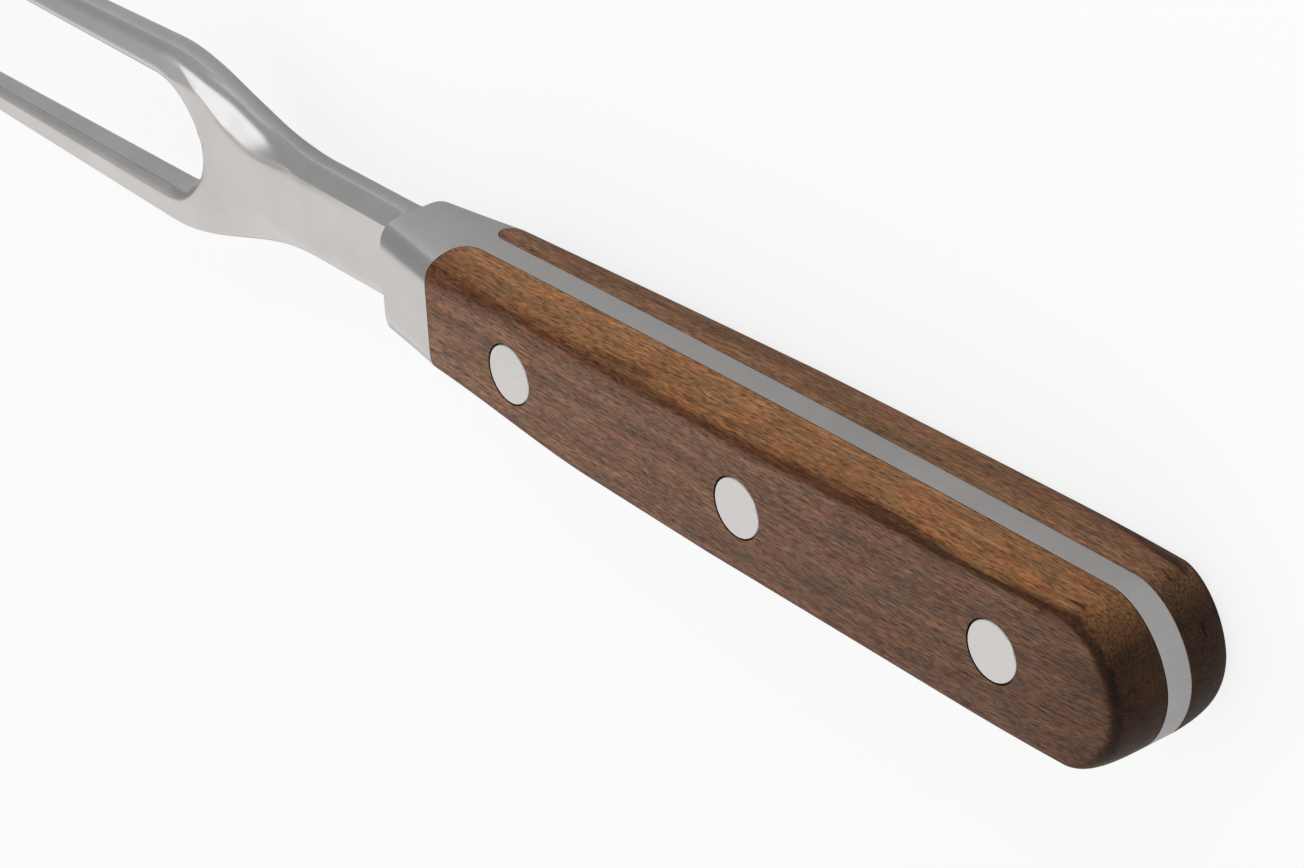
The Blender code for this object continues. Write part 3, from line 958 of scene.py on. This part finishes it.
rivet_edge = 0.15
rivet_crown = 0.03
crown_steps = 6
lean_step = 1.0
mark_cells = (900.0, 9000.0, 9000.0)
dull_rivet = (0.55, 0.545, 0.535, 1.0)
bright_rivet = (0.61, 0.605, 0.595, 1.0)
rivet_roughness = (0.26, 0.36)
mark_strength = 0.1
mark_height = 0.00003


def rivet_head():
    """Crowned face, rim and side of a head, from the middle of the face outwards."""
    radius = rivet_head_diameter / 2
    points = []
    for step in range(1, crown_steps + 1):
        share = step / crown_steps
        points.append(((radius - rivet_edge) * share, -rivet_crown * share * share))
    return points + [(radius, -rivet_crown - rivet_edge), (radius, -rivet_head_thickness)]


def rivet_half(name, shank):
    builder = bmesh.new()
    turned_mesh(builder, rivet_head() + shank, Vector())
    return solid(name, builder)


def rivet_row_tree():
    """Sets one rivet half on every point of a row, leaning with the wood that it is ground flush with."""
    sockets = (
        ("Rivet", 'NodeSocketObject'),
        ("Turn", 'NodeSocketFloat'),
        ("Material", 'NodeSocketMaterial'),
    )
    tree, given = new_tree("rivet_row", sockets)
    rivet = node(tree, 'GeometryNodeObjectInfo')
    tree.links.new(given.outputs["Rivet"], rivet.inputs["Object"])
    rotation = node(tree, 'ShaderNodeCombineXYZ')
    tree.links.new(given.outputs["Turn"], rotation.inputs["X"])
    tree.links.new(attribute(tree, "lean"), rotation.inputs["Y"])
    spread = node(tree, 'GeometryNodeInstanceOnPoints')
    tree.links.new(given.outputs["Geometry"], spread.inputs["Points"])
    tree.links.new(rivet.outputs["Geometry"], spread.inputs["Instance"])
    tree.links.new(rotation.outputs[0], spread.inputs["Rotation"])
    return end_tree(tree, given, spread.outputs["Instances"])


def rivet_row(name, direction):
    """The row's points on one side of the handle, each with the lean of the wood there."""
    builder = bmesh.new()
    lean = builder.verts.layers.float.new("lean")
    for along in rivet_places:
        thickness = direction * half_thickness(along)
        vertex = builder.verts.new(place(along, -rivet_line_below_axis, thickness))
        rise = half_thickness(along + lean_step) - half_thickness(along - lean_step)
        vertex[lean] = -direction * math.atan2(rise, 2 * lean_step)
    return solid(name, builder)


def ground_steel():
    material, tree, shader = new_material("ground_rivet_steel")
    position = node(tree, 'ShaderNodeTexCoord').outputs["Object"]
    marks = stretched_noise(tree, mark_cells, position)
    tree.links.new(ramp(tree, marks, noise_range, (dull_rivet, bright_rivet)), shader.inputs["Base Color"])
    tree.links.new(spread_out(tree, marks, noise_range, rivet_roughness), shader.inputs["Roughness"])
    shader.inputs["Metallic"].default_value = 1.0
    bump(tree, shader, marks, mark_strength, mark_height)
    return material


rivet_metal = ground_steel()
row_tree = rivet_row_tree()
pin = rivet_pin_diameter / 2
bore = pin + fit_gap
tube = rivet_tube_diameter / 2
shank_start = -rivet_head_thickness
shank_end = rivet_head_thickness + fit_gap - 2 * half_thickness(rivet_places[-1])
pin_shank = [(pin, shank_start), (pin, shank_end)]
tube_shank = [(tube, shank_start), (tube, shank_end), (bore, shank_end), (bore, shank_start)]
for row_name, direction, shank in (("pin", 1, pin_shank), ("tube", -1, tube_shank)):
    rivet = rivet_half("rivet_" + row_name, shank)
    row = rivet_row("rivet_" + row_name + "s", direction)
    turn = 0.0 if direction > 0 else math.pi
    grow(row, row_tree, {"Rivet": rivet, "Turn": turn, "Material": rivet_metal})
    finish_surface(row, rivet_metal)
    bpy.data.objects.remove(rivet)
    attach(row, "root")
    for rivet_place in rivet_names:
        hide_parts(rivet_place + "_rivet_" + row_name)


# The studio
# A wide sheet of pale paper in an evenly lit room, with a brighter, warmer wall on the belly's side.
# A large soft box hangs ahead of the tines, a lamp stands on the spine's side, and a fill by the camera.

# The paper is nearly white to the camera, and shows a glow in the steel; right beside the fork that glow is
# fainter, a painted shadow in the steel's reflection.
# It lies a hair below the fork, so that the two never share a face.
floor_reach = 6.0
floor_drop = 0.1
paper_tone = 0.66
paper_tone_rise = 0.3
paper_roughness = 0.9
paper_glow = 0.82
painted_shade_beside_fork = (0.02, 0.12)
mirrored_glow_painted_shade = (0.06, 0.45)

floor_builder = bmesh.new()
floor_place = Matrix.Translation((0.0, 0.0, -floor_drop * mm))
bmesh.ops.create_grid(floor_builder, x_segments=1, y_segments=1, size=floor_reach, matrix=floor_place)
floor = solid("floor", floor_builder)
paper, floor_tree, floor_shader = new_material("floor_paper")
floor_shader.inputs["Roughness"].default_value = paper_roughness
floor_path = node(floor_tree, 'ShaderNodeLightPath').outputs
floor_glow = node(floor_tree, 'ShaderNodeEmission')
floor_mix = node(floor_tree, 'ShaderNodeMixShader')
seen = number(floor_tree, 'ADD', floor_path["Is Camera Ray"], floor_path["Is Transmission Ray"])
tone = number(floor_tree, 'ADD', paper_tone, number(floor_tree, 'MULTIPLY', seen, paper_tone_rise))
floor_tree.links.new(tone, floor_shader.inputs["Base Color"])
floor_parts = node(floor_tree, 'ShaderNodeSeparateXYZ')
floor_tree.links.new(node(floor_tree, 'ShaderNodeTexCoord').outputs["Object"], floor_parts.inputs[0])
sideways_off = number(floor_tree, 'ABSOLUTE', floor_parts.outputs["Y"])
# The mirrored glow fades right beside the fork: a painted shadow in the steel's reflection.
mirrored_painted_shade = spread_out(floor_tree, sideways_off, painted_shade_beside_fork, mirrored_glow_painted_shade)
glossy_glow_painted_shade = number(floor_tree, 'MULTIPLY', floor_path["Is Glossy Ray"], mirrored_painted_shade)
glow_share = number(floor_tree, 'ADD', number(floor_tree, 'MULTIPLY', seen, paper_glow), glossy_glow_painted_shade)
floor_tree.links.new(glow_share, floor_mix.inputs[0])
floor_tree.links.new(floor_shader.outputs[0], floor_mix.inputs[1])
floor_tree.links.new(floor_glow.outputs[0], floor_mix.inputs[2])
floor_tree.links.new(floor_mix.outputs[0], floor_tree.nodes["Material Output"].inputs["Surface"])
floor.data.materials.append(paper)

# The room's brightness by direction: a little darker straight ahead of the tines, brighter at the wall
ahead = (0.79, 0.89)
room_brightness = (0.51, 0.40)
towards_wall = (0.30, 0.42)
wall_brightness = (0.0, 0.6)
room_colour = (1.0, 1.0, 1.0, 1.0)
wall_colour = (1.0, 0.965, 0.95, 1.0)

scene = bpy.context.scene
world = bpy.data.worlds.new("studio")
scene.world = world
world.use_nodes = True
world_tree = world.node_tree
background = world_tree.nodes["Background"]
towards = node(world_tree, 'ShaderNodeSeparateXYZ')
world_tree.links.new(node(world_tree, 'ShaderNodeTexCoord').outputs["Generated"], towards.inputs[0])
room = spread_out(world_tree, towards.outputs["X"], ahead, room_brightness, 'SMOOTHSTEP')
wall = spread_out(world_tree, towards.outputs["Y"], towards_wall, wall_brightness, 'SMOOTHSTEP')
surround = number(world_tree, 'ADD', room, wall)
world_path = node(world_tree, 'ShaderNodeLightPath').outputs
brightness = number(world_tree, 'MAXIMUM', world_path["Is Camera Ray"], surround)
world_tree.links.new(brightness, background.inputs["Strength"])
warmth = ramp(world_tree, towards.outputs["Y"], towards_wall, (room_colour, wall_colour))
world_tree.links.new(warmth, background.inputs["Color"])

# Lamps: places and sizes in metres, power in watts
overhead_place = (0.66, -0.10, 1.0)
overhead_turn = (0.0, 0.0, math.radians(-12.0))
overhead_size = (0.56, 1.0)
overhead_power = 2.29
spine_side_place = (-0.25, -1.1, 0.5)
spine_side_size = (1.2, 0.5)
spine_side_power = 4.6
camera_side_place = (-0.9, -0.4, 1.1)
camera_side_size = (0.6, 0.6)
camera_side_power = 1.0


def soft_box(name, position, turn, size, power):
    """A rectangular lamp."""
    lamp = bpy.data.lights.new(name, 'AREA')
    lamp.shape = 'RECTANGLE'
    lamp.size, lamp.size_y = size
    lamp.energy = power
    item = bpy.data.objects.new(name, lamp)
    scene.collection.objects.link(item)
    item.location = position
    item.rotation_euler = turn


def facing(position):
    """The turn that points a lamp at the middle of the fork."""
    return (-Vector(position)).to_track_quat('-Z', 'Y').to_euler()


soft_box("overhead_box", overhead_place, overhead_turn, overhead_size, overhead_power)
soft_box("spine_box", spine_side_place, facing(spine_side_place), spine_side_size, spine_side_power)
soft_box("camera_fill", camera_side_place, facing(camera_side_place), camera_side_size, camera_side_power)

# The camera stands behind the butt on the spine's side and looks down along the handle
camera_place = Vector((-0.50572, -0.30609, 0.34803))
look = Vector((0.69025, 0.49003, -0.53238)).normalized()
roughly_up = Vector((0.35285, -0.87031, -0.34360))
sensor_width = 36.0
focal_length = 160.12
nearest_seen = 0.05

camera_data = bpy.data.cameras.new("camera")
camera_data.sensor_width = sensor_width
camera_data.lens = focal_length
camera_data.clip_start = nearest_seen
camera = bpy.data.objects.new("camera", camera_data)
scene.collection.objects.link(camera)
sideways = look.cross(roughly_up).normalized()
upward = sideways.cross(look)
camera_turn = Matrix((sideways, upward, -look)).transposed().to_4x4()
camera.matrix_world = Matrix.Translation(camera_place) @ camera_turn
scene.camera = camera
scene.view_settings.view_transform = 'Standard'
